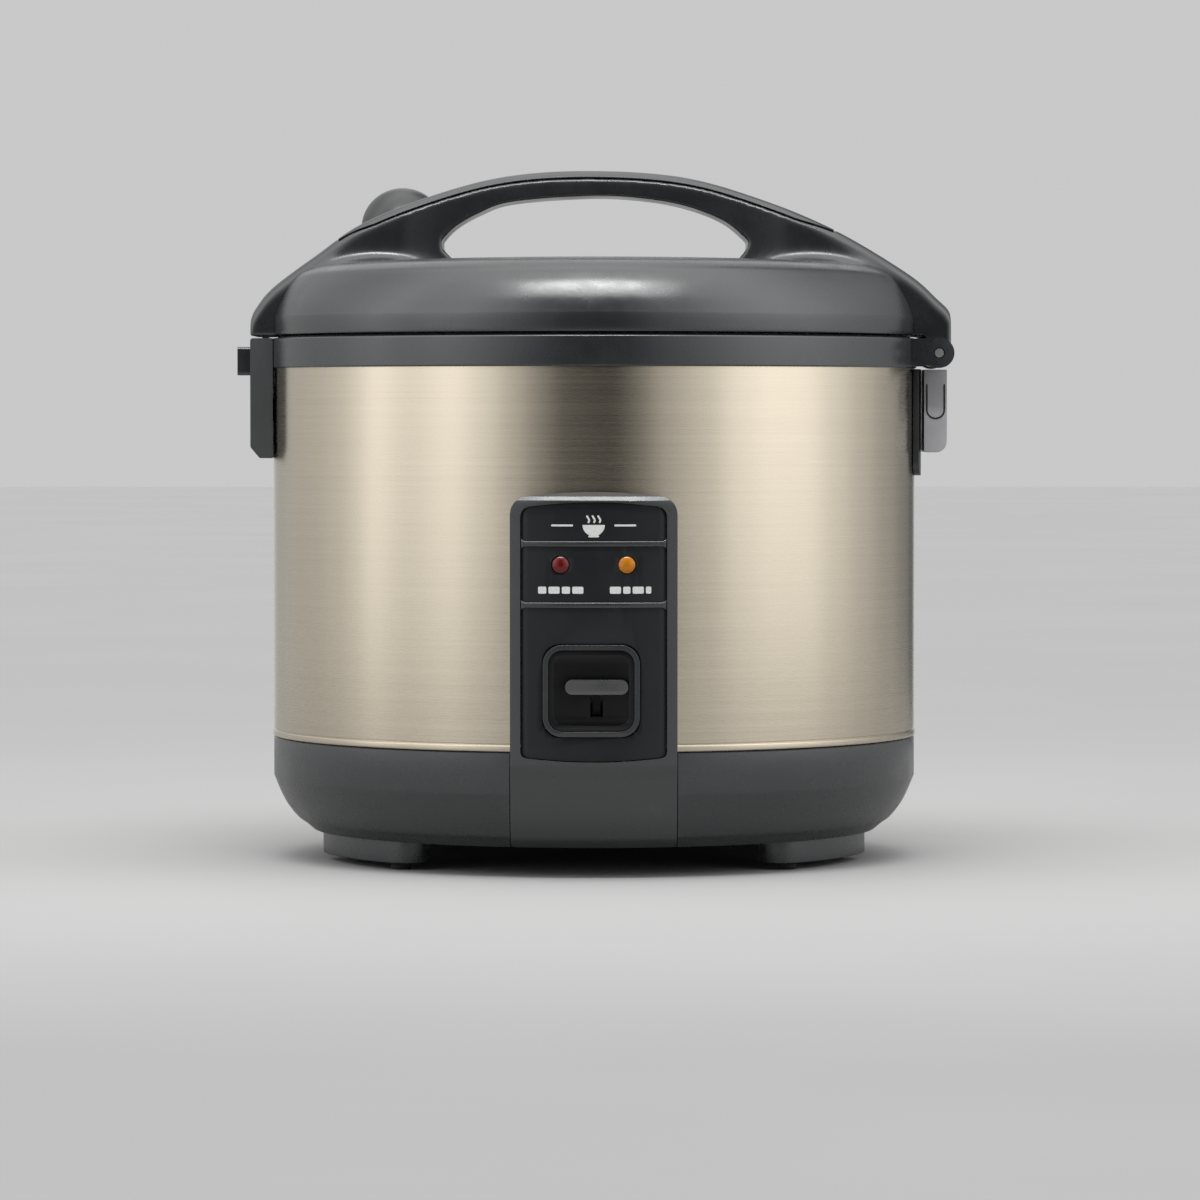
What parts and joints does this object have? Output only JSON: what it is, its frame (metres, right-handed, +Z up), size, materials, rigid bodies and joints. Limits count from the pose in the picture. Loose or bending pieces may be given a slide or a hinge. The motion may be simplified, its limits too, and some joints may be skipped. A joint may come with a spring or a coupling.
{
  "type": "rice cooker",
  "caption": "Round rice cooker with a brushed steel body, hinged domed lid under an arched handle, front lever switch, lift-out pan and pull-off dew cup.",
  "frame": {"origin": "on the surface the cooker stands on, at the centre of its bounding box", "axes": "+Z up, -Y towards the control panel, +X towards the lid's hinge"},
  "size_m": [0.311, 0.292, 0.2987],
  "materials": {
    "slate_plastic": "fine moulded texture, satin sheen",
    "dark_plastic": "moulded, satin",
    "inset_plastic": "smooth, near black",
    "lever_plastic": "smooth, black",
    "brushed_band": "horizontal brushed grain, champagne tint",
    "well_aluminium": "satin",
    "cast_aluminium": "fine cast, machined face",
    "zinc": "zinc plated",
    "rubber": "matt black",
    "silicone": "soft grey silicone",
    "pan_coating": "dark non-stick coating",
    "red_lens": "clear red lens",
    "amber_lens": "clear amber lens",
    "board": "circuit board",
    "smoked_clear": "translucent smoked grey"
  },
  "bodies": {
    "body": {"base_cover": "slate_plastic", "base_screw_front_left": "zinc", "base_screw_front_right": "zinc", "base_screw_rear_left": "zinc", "base_screw_rear_right": "zinc", "foot_pad_front_left": "rubber", "foot_pad_front_right": "rubber", "foot_pad_rear_left": "rubber", "foot_pad_rear_right": "rubber", "outer_shell": "brushed_band", "rim_ring": "slate_plastic", "inner_well": "well_aluminium", "keep_warm_heater": "silicone", "heater_plate": "cast_aluminium", "heater_element": "zinc", "heater_stud_1": "zinc", "heater_stud_2": "zinc", "heater_stud_3": "zinc", "inner_pan": "pan_coating", "sensor_spring": "zinc", "power_inlet": "dark_plastic", "inlet_pin_left": "zinc", "inlet_pin_right": "zinc", "control_housing": "slate_plastic", "panel_face": "inset_plastic", "lamp_lens_cook": "red_lens", "lamp_lens_warm": "amber_lens", "lamp_board": "board", "switch_bezel": "dark_plastic", "linkage_bracket": "zinc", "linkage_pin": "zinc", "microswitch": "dark_plastic", "thermal_fuse": "zinc", "latch_housing": "slate_plastic", "hook_pin": "zinc", "latch_spring": "zinc", "hinge_pin": "zinc", "hinge_spring": "zinc", "dew_collector_mount": "dark_plastic"},
    "lid": {"lid_shell": "slate_plastic", "lid_inner_frame": "slate_plastic", "lid_gasket": "silicone", "inner_lid": "well_aluminium", "handle_core": "slate_plastic", "handle_cover": "slate_plastic", "handle_screw_left": "zinc", "handle_screw_right": "zinc", "steam_seat": "dark_plastic", "lid_catch": "zinc"},
    "steam_vent": {"steam_cap": "dark_plastic"},
    "dew_cup": {"dew_collector": "smoked_clear"},
    "button": {"hook_button": "slate_plastic"},
    "hook": {"latch_hook": "zinc"},
    "switch": {"switch_lever": "lever_plastic", "linkage_arm": "zinc"},
    "magnet": {"magnet_rod": "zinc"},
    "sensor": {"sensor_cap": "well_aluminium"}
  },
  "joints": [
    {"name": "lid_hinge", "type": "hinge", "parent": "body", "child": "lid", "pos_m": [0.149, 0, 0.2195], "axis": [0, 1, 0], "range_deg": [0, 85], "deforming": ["hinge_spring"]},
    {"name": "steam_cap_lift", "type": "slide", "parent": "lid", "child": "steam_vent", "axis": [0, 0, 1], "range_m": [0, 0.04]},
    {"name": "dew_cup_pull", "type": "slide", "parent": "body", "child": "dew_cup", "axis": [1, 0, 0], "range_m": [0, 0.03]},
    {"name": "button_press", "type": "slide", "parent": "body", "child": "button", "axis": [1, 0, 0], "range_m": [0, 0.002], "stiffness_N_per_m": 600, "springref_m": -0.001},
    {"name": "hook_turn", "type": "hinge", "parent": "body", "child": "hook", "pos_m": [-0.1435, 0, 0.203], "axis": [0, 1, 0], "range_deg": [0, 9], "deforming": ["latch_spring"]},
    {"name": "lever_press", "type": "hinge", "parent": "body", "child": "switch", "pos_m": [0, -0.052, 0.027], "axis": [1, 0, 0], "range_deg": [0, 5.1], "stiffness_Nm_per_rad": 2, "springref_deg": -4.58},
    {"name": "magnet_lift", "type": "slide", "parent": "body", "child": "magnet", "axis": [0, 0, 1], "range_m": [0, 0.0054]},
    {"name": "sensor_press", "type": "slide", "parent": "body", "child": "sensor", "axis": [0, 0, -1], "range_m": [0, 0.003], "stiffness_N_per_m": 800, "springref_m": -0.002, "deforming": ["sensor_spring"]}
  ],
  "couplings": [
    {"joint": "hook_turn", "follows": "button_press", "rad_per_m": 75},
    {"joint": "magnet_lift", "follows": "lever_press", "m_per_rad": 0.058}
  ]
}
